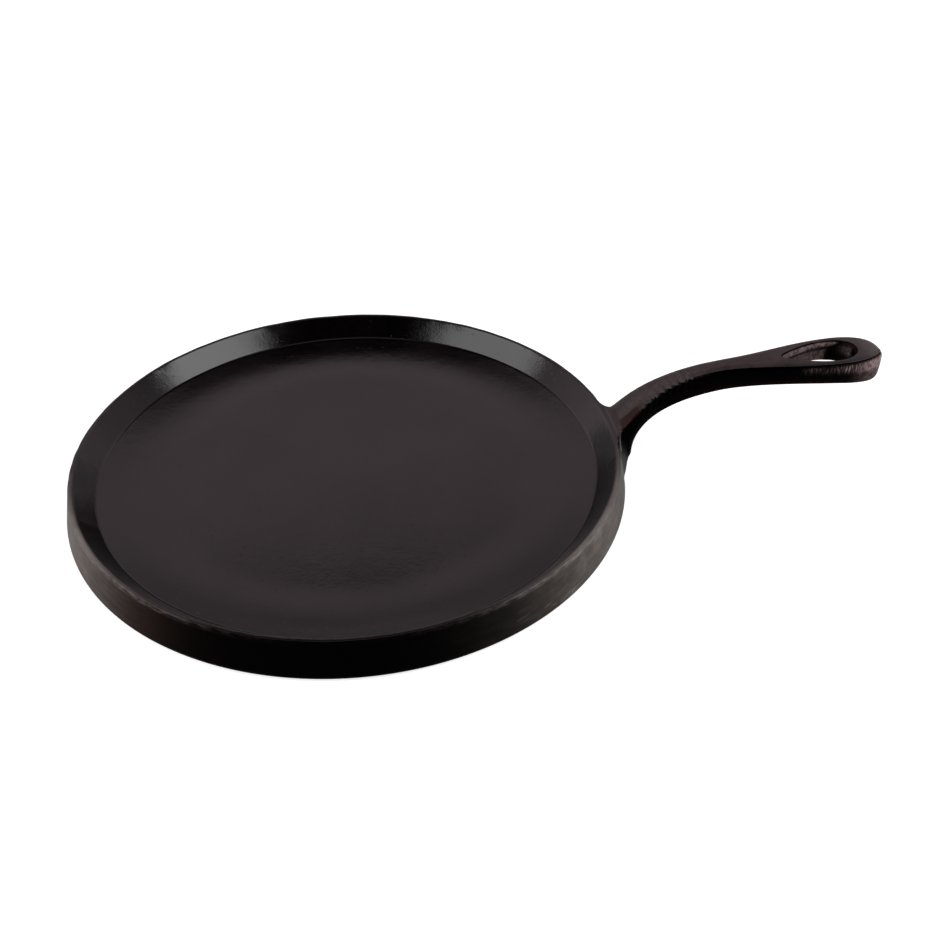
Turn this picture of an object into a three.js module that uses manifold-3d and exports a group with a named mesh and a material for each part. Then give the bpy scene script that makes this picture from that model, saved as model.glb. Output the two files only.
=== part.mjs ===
// Flat iron frying pan: one grey-iron sand casting.
//
// The dish is a thick flat plate with a low rim. Outside, the rim is a skirt that spreads a little towards
// the base. Inside, it slopes down from a narrow lip and turns into the cooking floor through a wide cove.
// The handle grows out of the whole height of the skirt, spreads round it with a flared root, sweeps up
// through a slim neck with eight thumb ribs, and widens into a flat grip. An egg-shaped hanging eye goes
// through the grip. It is narrowest halfway through, where the two halves of the mould part.
//
// Millimetres, +Z up. The origin is the centre of the flat base, and the handle points along +X.

import * as THREE from "three";
import { mergeVertices } from "three/addons/utils/BufferGeometryUtils.js";
import Module from "manifold-3d";

// The dish. Its radius is measured over the lip.
const PAN_RADIUS = 125;
const RIM_HEIGHT = 18;
const SKIRT_FLARE = 3.2; // how much further out the skirt stands at the base than at the lip
const FLOOR_THICKNESS = 5;
const WALL_SLOPE = 43; // degrees above level, inside the rim
const COVE_RADIUS = 12; // between the cooking floor and the sloping wall
const LIP_RADIUS = 1.1;
const BASE_EDGE_RADIUS = 2.5;

// The handle's side view. Reaches are measured outwards from the lip.
const HANDLE_REACH = 130; // to the tip
const NECK_REACH = 60; // to the crest, where the neck has levelled out
const GRIP_RISE = 27.8; // top of the crest, above the lip
const GRIP_SLOPE = 2.5; // degrees, rising from the crest to the tip
const GRIP_DEPTH = 11.1; // thickness at the crest
const TIP_DEPTH = 16.8; // thickness that the grip would reach at the tip if it weren't rounded off
const LEAVING_ANGLE = 49; // degrees above level, at which the handle's top leaves the lip
const UNDER_ARRIVAL = 5.5; // degrees above level, at which the under side reaches the crest
const UNDER_DROOP = 14.7; // degrees below level, at which the under side reaches the tip

// How long each curve holds the direction of its ends, as a share of the distance between them.
const NECK_TOP_PULLS = [0.4, 0.45];
const NECK_UNDER_PULLS = [0.34, 0.36];
const GRIP_UNDER_PULLS = [0.33, 0.33];

// The foot of the root, which stands out from the base of the skirt.
const FOOT_REACH = 8; // from the lip
const FOOT_HEIGHT = 5.2; // height of the foot's round
const FOOT_CLEARANCE = 0.8; // under the foot
const FOOT_SHARE = 0.1; // share of the neck's top line that stands over the foot's round

// The root's flare. At the base and at the lip, this is how far each side spreads where it meets the
// skirt, and how far out from the skirt the spreading begins.
const BASE_FLARE = 16.5;
const BASE_FLARE_REACH = 5.8;
const LIP_FLARE = 8;
const LIP_FLARE_REACH = 2.2;

// The handle's plan.
const ROOT_WIDTH = 26.8; // without the flare
const NECK_WIDTH = 11.8;
const PADDLE_WIDTH = 26;
const WAIST_REACH = 47; // to the narrowest point
const PADDLE_REACH = 108; // to the widest point

// The handle's section.
const TOP_EDGE_RADIUS = 1.5;
const UNDER_EDGE_RADIUS = 2;
const CROWN = 0.4; // how much the middle of the top stands above its edges
const SIDE_DRAFT = 3; // degrees, each way from the parting line

// Thumb ribs across the top of the neck.
const RIB_COUNT = 8;
const RIB_PITCH = 3.3;
const RIB_HEIGHT = 0.6; // from trough to crest
const RIB_REACH = 9.6; // to the foot of the first rib, in the middle of the neck
const RIB_SKEW = 13; // degrees, which brings their ends on the -Y side nearer the tip

// The hanging eye.
const EYE_LENGTH = 38;
const EYE_WIDTH = 17.6; // halfway along
const EYE_FULLNESS = 0.45; // how much fuller the egg is towards the tip
const TIP_WALL = 12.6; // iron between the eye and the tip
const EYE_RIDGE = 0.8; // how far the wall comes in at the parting line
const EYE_BEVEL = 0.9; // easing of the eye's edges
const CORE_OVERSHOOT = 3; // how far the eye's core stands out, above and below

// Facets.
const DISH_SEGMENTS = 96;
const ROUND_STEPS = 6; // to a round of the dish's section
const CORNER_STEPS = 3; // to a corner of the handle's section
const RIB_STEPS = 4; // to a rib
const EYE_STEPS = 48;
const ROOT_SECTIONS = 14;
const NECK_SECTIONS = 6; // from the last rib to the crest
const GRIP_SECTIONS = 12;
const TIP_SECTIONS = 12;

const radians = THREE.MathUtils.degToRad;
const { clamp, lerp, smoothstep } = THREE.MathUtils;
const wasm = await Module();
wasm.setup();

// Turns a closed geometry into a solid that can be joined and cut.
function solidFrom(geometry) {
  const bare = new THREE.BufferGeometry();
  bare.setAttribute("position", geometry.getAttribute("position"));
  bare.setIndex(geometry.getIndex());
  const merged = mergeVertices(bare, 1e-4);
  return new wasm.Manifold(
    new wasm.Mesh({
      numProp: 3,
      vertProperties: merged.attributes.position.array,
      triVerts: new Uint32Array(merged.index.array),
    }),
  );
}

// Turns a solid back into a geometry with flat-shaded faces.
function geometryFrom(solid) {
  const { vertProperties, triVerts } = solid.getMesh();
  const geometry = new THREE.BufferGeometry();
  geometry.setAttribute("position", new THREE.BufferAttribute(vertProperties, 3));
  geometry.setIndex(new THREE.BufferAttribute(triVerts, 1));
  const faceted = geometry.toNonIndexed();
  faceted.computeVertexNormals();
  return faceted;
}

// The middle of a ring of points.
function centreOf(ring) {
  const sum = ring.reduce((total, point) => total.add(point), new THREE.Vector3());
  return sum.divideScalar(ring.length);
}

// Skins a row of rings, each with the same number of points, and closes both ends with a fan.
// Seen from the far end of the row, the rings run anticlockwise.
function skin(rings) {
  const count = rings[0].length;
  const points = rings.flat();
  const triangles = [];
  for (let r = 0; r + 1 < rings.length; r++) {
    for (let i = 0; i < count; i++) {
      const a = r * count + i;
      const b = r * count + ((i + 1) % count);
      triangles.push(a, b, a + count);
      triangles.push(b, b + count, a + count);
    }
  }
  const first = points.push(centreOf(rings[0])) - 1;
  const last = points.push(centreOf(rings.at(-1))) - 1;
  const lastRing = (rings.length - 1) * count;
  for (let i = 0; i < count; i++) {
    const next = (i + 1) % count;
    triangles.push(next, i, first);
    triangles.push(lastRing + i, lastRing + next, last);
  }
  const geometry = new THREE.BufferGeometry().setFromPoints(points);
  geometry.setIndex(triangles);
  return geometry;
}

// Points of a round corner, from one angle to another, both in degrees.
function arc(x, y, radius, from, to, steps) {
  return Array.from({ length: steps + 1 }, (_, i) => {
    const angle = radians(from + ((to - from) * i) / steps);
    return new THREE.Vector2(x + radius * Math.cos(angle), y + radius * Math.sin(angle));
  });
}

// The skirt's radius at a height. Above the lip it stays the lip's.
function skirtRadius(z) {
  return PAN_RADIUS + SKIRT_FLARE * (1 - clamp(z / RIM_HEIGHT, 0, 1));
}

// The dish, turned from its half section.
function dish() {
  const slope = radians(WALL_SLOPE);
  const lean = THREE.MathUtils.radToDeg(Math.atan(SKIRT_FLARE / RIM_HEIGHT));

  // The base's edge and the lip's round both touch the skirt.
  const edgeX = skirtRadius(0) - BASE_EDGE_RADIUS;
  const lipX = PAN_RADIUS - LIP_RADIUS;
  const lipZ = RIM_HEIGHT - LIP_RADIUS;

  // The wall runs down from the lip's round to the cove, which touches the floor.
  const wallX = lipX - LIP_RADIUS * Math.sin(slope);
  const wallZ = lipZ + LIP_RADIUS * Math.cos(slope);
  const coveTopZ = FLOOR_THICKNESS + COVE_RADIUS * (1 - Math.cos(slope));
  const coveTopX = wallX - (wallZ - coveTopZ) / Math.tan(slope);
  const coveX = coveTopX - COVE_RADIUS * Math.sin(slope);
  const coveZ = FLOOR_THICKNESS + COVE_RADIUS;

  const profile = [
    new THREE.Vector2(0, 0),
    ...arc(edgeX, BASE_EDGE_RADIUS, BASE_EDGE_RADIUS, -90, lean, ROUND_STEPS),
    ...arc(lipX, lipZ, LIP_RADIUS, lean, 90 + WALL_SLOPE, ROUND_STEPS),
    ...arc(coveX, coveZ, COVE_RADIUS, WALL_SLOPE - 90, -90, ROUND_STEPS),
    new THREE.Vector2(0, FLOOR_THICKNESS),
  ];
  const lathe = new THREE.LatheGeometry(profile, DISH_SEGMENTS);
  lathe.rotateX(Math.PI / 2); // the lathe turns about Y; the dish stands on Z
  return lathe;
}

// A curve that leaves one point at one angle and reaches another at another, in degrees above level.
function sweep(from, leaving, to, arriving, [leavingPull, arrivingPull]) {
  const span = from.distanceTo(to);
  const aim = (angle, length) =>
    new THREE.Vector2(Math.cos(radians(angle)), Math.sin(radians(angle))).multiplyScalar(length);
  return new THREE.CubicBezierCurve(
    from,
    from.clone().add(aim(leaving, leavingPull * span)),
    to.clone().sub(aim(arriving, arrivingPull * span)),
    to,
  );
}

// The lines of the handle's side view, in X and Z. They start inside the rim, the neck's end at the
// crest, and the grip's end at the tip. The foot's round comes before the neck's under side.
function handleLines() {
  const crestX = PAN_RADIUS + NECK_REACH;
  const tipX = PAN_RADIUS + HANDLE_REACH;
  const crestZ = RIM_HEIGHT + GRIP_RISE;
  const tipZ = crestZ + (tipX - crestX) * Math.tan(radians(GRIP_SLOPE));
  const rootZ = RIM_HEIGHT - LIP_RADIUS * Math.tan(radians(LEAVING_ANGLE)) + CROWN;
  const footX = PAN_RADIUS + FOOT_REACH;
  const footTopZ = FOOT_CLEARANCE + FOOT_HEIGHT;
  const baseX = skirtRadius(0) - BASE_EDGE_RADIUS;

  const root = new THREE.Vector2(PAN_RADIUS - LIP_RADIUS, rootZ);
  const crest = new THREE.Vector2(crestX, crestZ);
  const crestUnder = new THREE.Vector2(crestX, crestZ - GRIP_DEPTH);
  const tip = new THREE.Vector2(tipX, tipZ);
  const tipUnder = new THREE.Vector2(tipX, tipZ - TIP_DEPTH);
  const footTop = new THREE.Vector2(footX, footTopZ);
  return {
    neckTop: sweep(root, LEAVING_ANGLE, crest, GRIP_SLOPE, NECK_TOP_PULLS),
    gripTop: new THREE.LineCurve(crest, tip),
    foot: new THREE.EllipseCurve(baseX, footTopZ, footX - baseX, FOOT_HEIGHT, -Math.PI / 2, 0),
    neckUnder: sweep(footTop, 90, crestUnder, UNDER_ARRIVAL, NECK_UNDER_PULLS),
    gripUnder: sweep(crestUnder, UNDER_ARRIVAL, tipUnder, -UNDER_DROOP, GRIP_UNDER_PULLS),
  };
}

// The point at which a line that runs towards +X reaches x, and its place on the line, from 0 to 1.
function reachX(line, x) {
  const halvings = 40;
  let low = 0;
  let high = 1;
  for (let i = 0; i < halvings; i++) {
    const middle = (low + high) / 2;
    if (line.getPoint(middle).x < x) low = middle;
    else high = middle;
  }
  return { place: low, point: line.getPoint(low) };
}

// Half the handle's width. It widens into the rim, is slimmest at the waist, swells to the paddle and
// ends in half an ellipse.
function halfWidth(reach) {
  const neck = NECK_WIDTH / 2;
  const paddle = PADDLE_WIDTH / 2;
  if (reach < WAIST_REACH) {
    return neck + (ROOT_WIDTH / 2 - neck) * (1 - Math.max(0, reach) / WAIST_REACH) ** 3;
  }
  if (reach < PADDLE_REACH) {
    const along = (reach - WAIST_REACH) / (PADDLE_REACH - WAIST_REACH);
    return neck + ((paddle - neck) * (1 - Math.cos(Math.PI * along))) / 2;
  }
  const past = (reach - PADDLE_REACH) / (HANDLE_REACH - PADDLE_REACH);
  return paddle * Math.sqrt(Math.max(0, 1 - past ** 2));
}

// How much of its thickness the handle keeps: all of it, until the tip is rounded off.
function depthKept(reach) {
  const squareness = 7;
  const past = Math.max(0, reach - PADDLE_REACH) / (HANDLE_REACH - PADDLE_REACH);
  return Math.cbrt(Math.max(0, 1 - past ** squareness));
}

// The height of the thumb ribs' waves, which rise and fall by the same amount.
function ribLift(reach) {
  const along = (reach - RIB_REACH) / RIB_PITCH;
  if (along <= 0 || along >= RIB_COUNT) return 0;
  return (RIB_HEIGHT / 2) * Math.sin(2 * Math.PI * along);
}

// How far a section leans along the neck for each millimetre towards -Y: as far as the ribs do where
// they are, and not at all at the skirt and the crest.
function sectionSkew(reach) {
  const ribsEnd = RIB_REACH + RIB_COUNT * RIB_PITCH;
  const share = smoothstep(reach, 0, RIB_REACH) * (1 - smoothstep(reach, ribsEnd, NECK_REACH));
  return share * Math.tan(radians(RIB_SKEW));
}

// One section of the handle: a box with a crowned top, rounded edges and sides that lean in from the
// parting line. It is drawn about its middle, across the handle in X and upwards in Y.
function section(half, depth, reach) {
  const up = depth / 2;
  const leastEdge = 0.3 * half; // where the tip runs out, nothing is taken off past this
  const edge = Math.max(leastEdge, half - up * Math.tan(radians(SIDE_DRAFT)));
  const topRound = Math.min(TOP_EDGE_RADIUS, 0.45 * edge, 0.45 * up);
  const underRound = Math.min(UNDER_EDGE_RADIUS, 0.8 * edge, 0.8 * up);
  const crown = Math.min(CROWN, 0.2 * up);
  const plusY = [
    new THREE.Vector2(0, -up),
    ...arc(edge - underRound, underRound - up, underRound, -90, 0, CORNER_STEPS),
    new THREE.Vector2(half, 0),
    ...arc(edge - topRound, up - crown - topRound, topRound, 0, 90, CORNER_STEPS),
    new THREE.Vector2(edge / 2, up - crown / 4),
    new THREE.Vector2(0, up),
  ];
  const minusY = plusY.slice(1, -1).reverse().map((p) => new THREE.Vector2(-p.x, p.y));
  const ring = [...plusY, ...minusY];
  ring.filter((p) => p.y > 0).forEach((p) => (p.y += ribLift(reach)));
  return ring;
}

// Spreads a point of the root sideways as it nears the skirt, and bends it round the dish.
function flared(point, half) {
  const level = clamp(point.z / RIM_HEIGHT, 0, 1);
  const reach = lerp(BASE_FLARE_REACH, LIP_FLARE_REACH, level);
  const closeness = clamp(1 - (point.x - skirtRadius(point.z)) / reach, 0, 1);
  const spread = lerp(BASE_FLARE, LIP_FLARE, level) * closeness ** 2;
  const y = point.y * (1 + spread / half);
  const sagitta = PAN_RADIUS - Math.sqrt(PAN_RADIUS ** 2 - y ** 2);
  return new THREE.Vector3(point.x - closeness * sagitta, y, point.z);
}

// Where the sections stand, as x on the handle's top line. They are closest across the ribs.
function sectionPlaces(rootX, crestX, tipX) {
  const ribStart = PAN_RADIUS + RIB_REACH - RIB_PITCH / 2;
  const ribEnd = ribStart + (RIB_COUNT + 1) * RIB_PITCH;
  const paddleX = PAN_RADIUS + PADDLE_REACH;
  const justShort = 0.02; // of the tip, where a section would have no size
  const evenly = (from, to, steps) =>
    Array.from({ length: steps }, (_, i) => from + ((to - from) * i) / steps);
  const easing = (from, to, steps) =>
    evenly(0, Math.PI / 2, steps).map((angle) => from + (to - from) * Math.sin(angle));
  return [
    ...evenly(rootX, ribStart, ROOT_SECTIONS),
    ...evenly(ribStart, ribEnd, (RIB_COUNT + 1) * RIB_STEPS),
    ...evenly(ribEnd, crestX, NECK_SECTIONS),
    ...evenly(crestX, paddleX, GRIP_SECTIONS),
    ...easing(paddleX, tipX, TIP_SECTIONS),
    tipX - justShort,
  ];
}

// The handle's section plane at x on its top line: its middle, its upward direction, and the section's
// half width and thickness there.
function stationAt(x, lines) {
  const onNeck = x < lines.gripTop.v1.x;
  const { place, point: top } = reachX(onNeck ? lines.neckTop : lines.gripTop, x);
  const underNeck = () =>
    place < FOOT_SHARE
      ? lines.foot.getPoint(place / FOOT_SHARE)
      : lines.neckUnder.getPoint((place - FOOT_SHARE) / (1 - FOOT_SHARE));
  const under = onNeck ? underNeck() : reachX(lines.gripUnder, x).point;
  const middle = top.clone().add(under).multiplyScalar(0.5);
  const reach = middle.x - PAN_RADIUS;
  return {
    middle,
    upward: top.clone().sub(under).normalize(),
    half: halfWidth(reach),
    depth: top.distanceTo(under) * depthKept(reach),
  };
}

// The handle without its eye, lofted through sections that stand between its top and under lines.
function handle() {
  const lines = handleLines();
  const rings = sectionPlaces(lines.neckTop.v0.x, lines.gripTop.v1.x, lines.gripTop.v2.x).map((x) => {
    const here = stationAt(x, lines);
    const skew = sectionSkew(x - PAN_RADIUS);
    return section(here.half, here.depth, x - PAN_RADIUS).map((p) => {
      const { middle, upward, half, depth } = stationAt(x - p.x * skew, lines);
      const across = (p.x * half) / here.half;
      const height = (p.y * depth) / here.depth;
      const point = new THREE.Vector3(middle.x + upward.x * height, across, middle.y + upward.y * height);
      return flared(point, half);
    });
  });
  return skin(rings);
}

// The iron that the eye takes out: an egg-shaped core, square to the grip, narrowest halfway through and
// eased where it meets the top and the under side.
function eyeCore() {
  const lines = handleLines();
  const middleX = PAN_RADIUS + HANDLE_REACH - TIP_WALL - EYE_LENGTH / 2;
  const { middle, depth } = stationAt(middleX, lines);
  const half = depth / 2;
  const outline = (grow) =>
    Array.from({ length: EYE_STEPS }, (_, i) => {
      const angle = (2 * Math.PI * i) / EYE_STEPS;
      const along = Math.cos(angle);
      const across = Math.sin(angle) * (1 + EYE_FULLNESS * along);
      return new THREE.Vector2((EYE_LENGTH / 2 + grow) * along, (EYE_WIDTH / 2 + grow) * across);
    });
  const levels = [
    [-half - CORE_OVERSHOOT, CORE_OVERSHOOT],
    [-half + EYE_BEVEL, -EYE_BEVEL],
    [0, -EYE_BEVEL - EYE_RIDGE],
    [half - EYE_BEVEL, -EYE_BEVEL],
    [half + CORE_OVERSHOOT, CORE_OVERSHOOT],
  ];
  const rings = levels.map(([z, grow]) => outline(grow).map((p) => new THREE.Vector3(p.x, p.y, z)));
  const core = skin(rings);
  core.rotateY(-radians(GRIP_SLOPE));
  core.translate(middleX, 0, middle.y);
  return core;
}

// Grey iron under a baked-on, matt black seasoning.
const seasonedIron = new THREE.MeshStandardMaterial({
  name: "seasoned_iron",
  color: 0x2a2727,
  roughness: 0.55,
  metalness: 0.35,
});

const casting = solidFrom(dish()).add(solidFrom(handle())).subtract(solidFrom(eyeCore()));
const panCasting = new THREE.Mesh(geometryFrom(casting), seasonedIron);
panCasting.name = "pan_casting";

const fryingPan = new THREE.Group();
fryingPan.add(panCasting);

export default fryingPan;
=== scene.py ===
"""Dresses a flat cast-iron frying pan for a studio picture.

The pan is one casting, so it is one piece: the dish and the handle are worked out as closed surfaces, joined,
eased where they meet, and cut through by the hanging eye. Lengths are in metres. The origin is the centre of
the dish on its resting face, +X runs along the handle and +Z is up.
"""

from functools import partial
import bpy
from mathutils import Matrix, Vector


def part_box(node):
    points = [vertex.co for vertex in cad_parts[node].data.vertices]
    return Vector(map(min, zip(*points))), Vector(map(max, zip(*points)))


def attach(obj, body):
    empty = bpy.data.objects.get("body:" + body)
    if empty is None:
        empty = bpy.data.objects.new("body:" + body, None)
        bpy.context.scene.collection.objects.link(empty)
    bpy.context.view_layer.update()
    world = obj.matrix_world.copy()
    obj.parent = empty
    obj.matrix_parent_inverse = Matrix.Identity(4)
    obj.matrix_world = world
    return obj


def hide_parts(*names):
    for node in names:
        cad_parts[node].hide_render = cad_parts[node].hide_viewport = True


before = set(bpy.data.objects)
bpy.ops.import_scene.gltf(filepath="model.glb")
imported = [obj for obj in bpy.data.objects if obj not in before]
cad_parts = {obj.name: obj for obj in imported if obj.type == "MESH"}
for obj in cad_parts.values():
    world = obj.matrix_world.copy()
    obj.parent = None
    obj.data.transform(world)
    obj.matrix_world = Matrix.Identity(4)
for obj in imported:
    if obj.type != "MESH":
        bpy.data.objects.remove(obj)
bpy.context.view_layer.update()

from types import SimpleNamespace

import bmesh
import bpy
import numpy as np
from bpy.props import FloatProperty, FloatVectorProperty, IntProperty, PointerProperty
from mathutils import Matrix, Vector

bl_info = {
    "name": "Cast-Iron Frying Pan",
    "version": (1, 0, 0),
    "blender": (4, 5, 0),
    "location": "View3D > Sidebar > Frying Pan",
    "description": "Builds a seasoned flat cast-iron frying pan on a pale studio floor",
    "category": "Add Mesh",
}

MM = 0.001
CASTING_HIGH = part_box("pan_casting")[1]


def linear(code):
    """Turns an sRGB hex value into linear light: each channel c becomes ((c + 0.055) / 1.055) ^ 2.4,
    or c / 12.92 in the darkest range."""
    channels = np.array([int(code[i : i + 2], 16) for i in (1, 3, 5)]) / 255
    light = np.where(channels <= 0.04045, channels / 12.92, ((channels + 0.055) / 1.055) ** 2.4)
    return tuple(float(c) for c in light)


def length(name, description, default):
    """A size that a user can set, in metres."""
    return FloatProperty(name=name, description=description, default=default, unit="LENGTH")


def angle(name, description, degrees):
    """An angle that a user can set, shown in degrees."""
    return FloatProperty(name=name, description=description, default=np.radians(degrees), subtype="ANGLE")


def colour(name, description, code):
    """A colour that a user can set, from an sRGB hex value."""
    return FloatVectorProperty(
        name=name, description=description, default=linear(code), subtype="COLOR", min=0, max=1
    )


class PanDishSettings(bpy.types.PropertyGroup):
    """Sizes of the dish."""

    rim_radius: length("Rim radius", "Outside radius at the lip", 125 * MM)
    rim_height: length("Rim height", "Height of the lip above the resting face", 18 * MM)
    skirt_flare: length("Skirt flare", "How much wider the skirt is at its base", 3.2 * MM)
    floor_thickness: length("Floor thickness", "Iron under the cooking floor", 5 * MM)
    wall_slope: angle("Wall slope", "Slope of the inside wall", 48)
    wall_width: length("Wall width", "From the lip's outside in to the wall's foot", 10.3 * MM)
    foot_radius: length("Foot radius", "Round between the wall and the cooking floor", 1.8 * MM)
    edge_slope: angle("Edge slope", "Rise of the cooking floor's outer band", 10.2)
    floor_bend: length("Floor bend", "Radius in which the flat floor turns up to its outer band", 160 * MM)
    lip_radius: length("Lip radius", "Round on either edge of the lip", 0.8 * MM)
    lip_land: length("Lip land", "Level strip between the lip's rounds", 0.8 * MM)
    base_edge_radius: length("Base edge radius", "Round under the skirt", 2.5 * MM)
    lip_unevenness: length("Lip unevenness", "How far the hand-ground lip wavers", 0.22 * MM)


class PanHandleSettings(bpy.types.PropertyGroup):
    """Sizes of the handle, its thumb ribs and its hanging eye."""

    reach: length("Reach", "From the lip to the tip", CASTING_HIGH.x - 125 * MM)
    crest_reach: length("Crest reach", "From the lip to the end of the neck's rise", 60 * MM)
    crest_rise: length("Crest rise", "From the lip up to the grip", 27.8 * MM)
    grip_slope: angle("Grip slope", "Rise of the grip towards the tip", 2.5)
    grip_depth: length("Grip depth", "Thickness where the grip starts", 11.4 * MM)
    tip_depth: length("Tip depth", "Thickness towards the tip", 16.8 * MM)
    root_width: length("Root width", "Width at the lip, without the flare", 26.8 * MM)
    neck_width: length("Neck width", "Width at the waist", 11.8 * MM)
    paddle_width: length("Paddle width", "Greatest width of the grip", 26 * MM)
    rib_count: IntProperty(name="Ribs", description="Thumb ribs across the neck", default=8, min=0)
    rib_pitch: length("Rib pitch", "From one rib to the next", 3.3 * MM)
    rib_height: length("Rib height", "From trough to crest", 0.62 * MM)
    eye_length: length("Eye length", "Length of the hanging eye", 38 * MM)
    eye_width: length("Eye width", "Width of the hanging eye halfway along", 17.9 * MM)
    tip_wall: length("Tip wall", "Iron between the eye and the tip", 12.6 * MM)


class PanFinishSettings(bpy.types.PropertyGroup):
    """Colours of the iron and its seasoning, and of the light, shade and reflection painted over them."""

    seasoning: colour("Seasoning", "Baked-on oil over the iron", "#080505")
    # Painted light: the handle's top is given a lighter, rosier copy of the coat than its sides.
    handle_seasoning: colour("Handle seasoning", "The rougher, rosier coat on top of the handle", "#3a2f30")
    # The skirt's dull coat, and also the near-black painted shade on the handle's sides, underside, eye and
    # top edges.
    skirt_seasoning: colour("Skirt seasoning", "The duller coat outside", "#020101")
    # Painted light: the pale rosy tint laid where the tip's side, the eye's far wall and the neck are lit.
    painted_light_tint: colour("Thin seasoning", "Where the coat is thin and rosy grey", "#c4acaa")
    # A brown coat on a patch at the root and on a stretch of the skirt, and painted warm reflection low on
    # the handle's sides and in the eye.
    brown_coat_and_reflection: colour("Brown seasoning", "Where the coat has gone brown", "#321d16")
    # Also the colour of the painted highlight on the skirt's lit ends and at the neck's foot.
    bare_iron_and_highlight: colour("Bare iron", "Where the coat is rubbed off", "#8b8580")


class PanStudioSettings(bpy.types.PropertyGroup):
    """The floor, the lamps and the picture's viewpoint."""

    floor: colour("Floor", "Pale studio floor", "#dedddb")
    left_lamp: FloatProperty(name="Left lamp", description="Brightness of its panel", default=2.9, min=0)
    right_lamp: FloatProperty(name="Right lamp", description="Brightness of its panel", default=3.9, min=0)
    back_light: FloatProperty(name="Back light", description="Brightness of the screen", default=0.63, min=0)
    lens: FloatProperty(name="Lens", description="Focal length", default=41.79, unit="CAMERA")
    eye_place: FloatVectorProperty(
        name="Viewpoint",
        description="Where the camera stands",
        default=(-9.35 * MM, -413.8 * MM, 312.4 * MM),
        subtype="TRANSLATION",
    )
    eye_tilt: angle("Viewpoint tilt", "How far the camera looks down from level", 36.98)
    eye_turn: angle("Viewpoint turn", "How far the camera turns from +Y towards +X", 9.07)


# The handle's own curves. Places are in metres, shares are of the chord that a curve spans.
ROOT_OVERLAP = 1.1 * MM
LEAVING_ANGLE = np.radians(49)
UNDER_ARRIVAL = np.radians(5.5)
UNDER_DROOP = np.radians(14.7)
NECK_TOP_PULLS = (0.4, 0.45)
NECK_UNDER_PULLS = (0.34, 0.36)
GRIP_UNDER_PULLS = (0.33, 0.33)
FOOT_REACH = 8 * MM
FOOT_HEIGHT = 5.2 * MM
FOOT_CLEARANCE = 0.8 * MM
FOOT_SHARE = 0.1
WAIST_REACH = 47 * MM
PADDLE_REACH = 108 * MM
BASE_FLARE, BASE_FLARE_REACH = 16.5 * MM, 5.8 * MM
LIP_FLARE, LIP_FLARE_REACH = 8 * MM, 2.2 * MM
TOP_EDGE_RADIUS, UNDER_EDGE_RADIUS = 2.3 * MM, 2.2 * MM
CROWN = 0.4 * MM
# The most of a thin section that its rounds and its crown take, and the least width left at its edge.
TOP_EDGE_MOST, UNDER_EDGE_MOST, CROWN_MOST, LEAST_EDGE = 0.45, 0.8, 0.2, 0.3
SIDE_DRAFT = np.tan(np.radians(3))
TIP_SQUARENESS = 7
RIB_REACH = 9.6 * MM
RIB_SKEW = np.tan(np.radians(13))
RIB_SHARPNESS, RIB_TROUGH = 1.5, 0.45
RIB_EDGE, RIB_TOP, RIB_SPREAD = 1.5, 0.65, 0.3
RIB_EDGE_BAND, RIB_TOP_BAND, FIRST_RIB = (-1.1, 0.1), (0, 0.9), (-0.25, 0.35)
RIB_BULGE, TOP_EDGE_INSET = 1.5 * MM, 1.3 * MM
EYE_FULLNESS = 0.45
EYE_TOP_EDGE, EYE_UNDER_EDGE = 1.0 * MM, 2.0 * MM
EYE_TOP_DRAFT, EYE_UNDER_DRAFT = 0.3 * MM, 0.55 * MM
EYE_RIDGE = 0.3 * MM
EYE_RIDGE_WIDTH = 0.7 * MM
EYE_RIDGE_SHARE = 0.68

# Where the handle's stations change their spacing, and those spacings, from the root to the paddle.
FLARE_END, RIBS_CLEAR = 7 * MM, 38 * MM
STATION_STEPS = (0.14 * MM, 0.4 * MM, 0.8 * MM, 1.1 * MM)
TIP_GAP = 0.02 * MM

# The lip wavers over its top band, less near the handle, and by a share of that up and down.
LIP_BAND, EVEN_TURN, LIP_SWELL = 3.5 * MM, np.radians(9), 0.6

# How far from the root's seam the iron is eased, fully within a share of that, and in how many rounds. Then
# how close two points along a cut are merged.
SEAM_REACH, SEAM_CORE, SEAM_ROUNDS = 2.6 * MM, 0.3, 14
SLIVER = 0.02 * MM

# Places of the four finishes in the casting's list of materials.
# The second finish is also the painted shade on the handle's sides, the third the painted light on its top.
SATIN, GROUND_AND_SHADED, LIT_TOP, DARK_WALL = range(4)

# Each finish of the iron, in that order: its coat, how strong the gloss is, its roughness, and how strong and
# how wavy its grain is.
IRON_FINISHES = {
    # Many coats of baked-on oil: a smooth black satin that shows the lamps softly.
    "seasoned_cast_iron": ("seasoning", 0.5, 0.14, 0.35, 1.1),
    # Dressed on a grinder, under a dull thin coat: nearly matt black with upright streaks.
    # On the handle's sides, its underside and in the eye, this near-black copy of the coat is painted shade.
    "ground_cast_iron": ("skirt_seasoning", 0.006, 0.34, 0.5, 0.5),
    # As the sand mould left it, grainy and half matt, with painted light: a lighter, rosier copy of the coat.
    "sand_cast_iron": ("handle_seasoning", 0.33, 0.38, 0.7, 1.8),
    # A darker copy of the coat on one stretch of the inside wall: black with a weak gloss.
    "sooty_cast_iron": ("skirt_seasoning", 0.12, 0.2, 0.35, 1.1),
}

# How far a face looks outwards or up where one finish ends and the next starts.
SIDEWAYS, WALL_STEEP, UNDER_STEEP = 0.5, 0.3, -0.2
# On the handle, these set where the top's painted light gives way to the sides' painted shade.
NECK_STEEP, GRIP_STEEP = 0.1, 0.85

# Numbers on the vertices that say where the finish differs and where light, shade and reflection are painted.
MASKS = ["lip", "worn", "ground", "scraped", "rubbed", "thin", "brown", "dull_edge", "edge_marks"]

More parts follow.
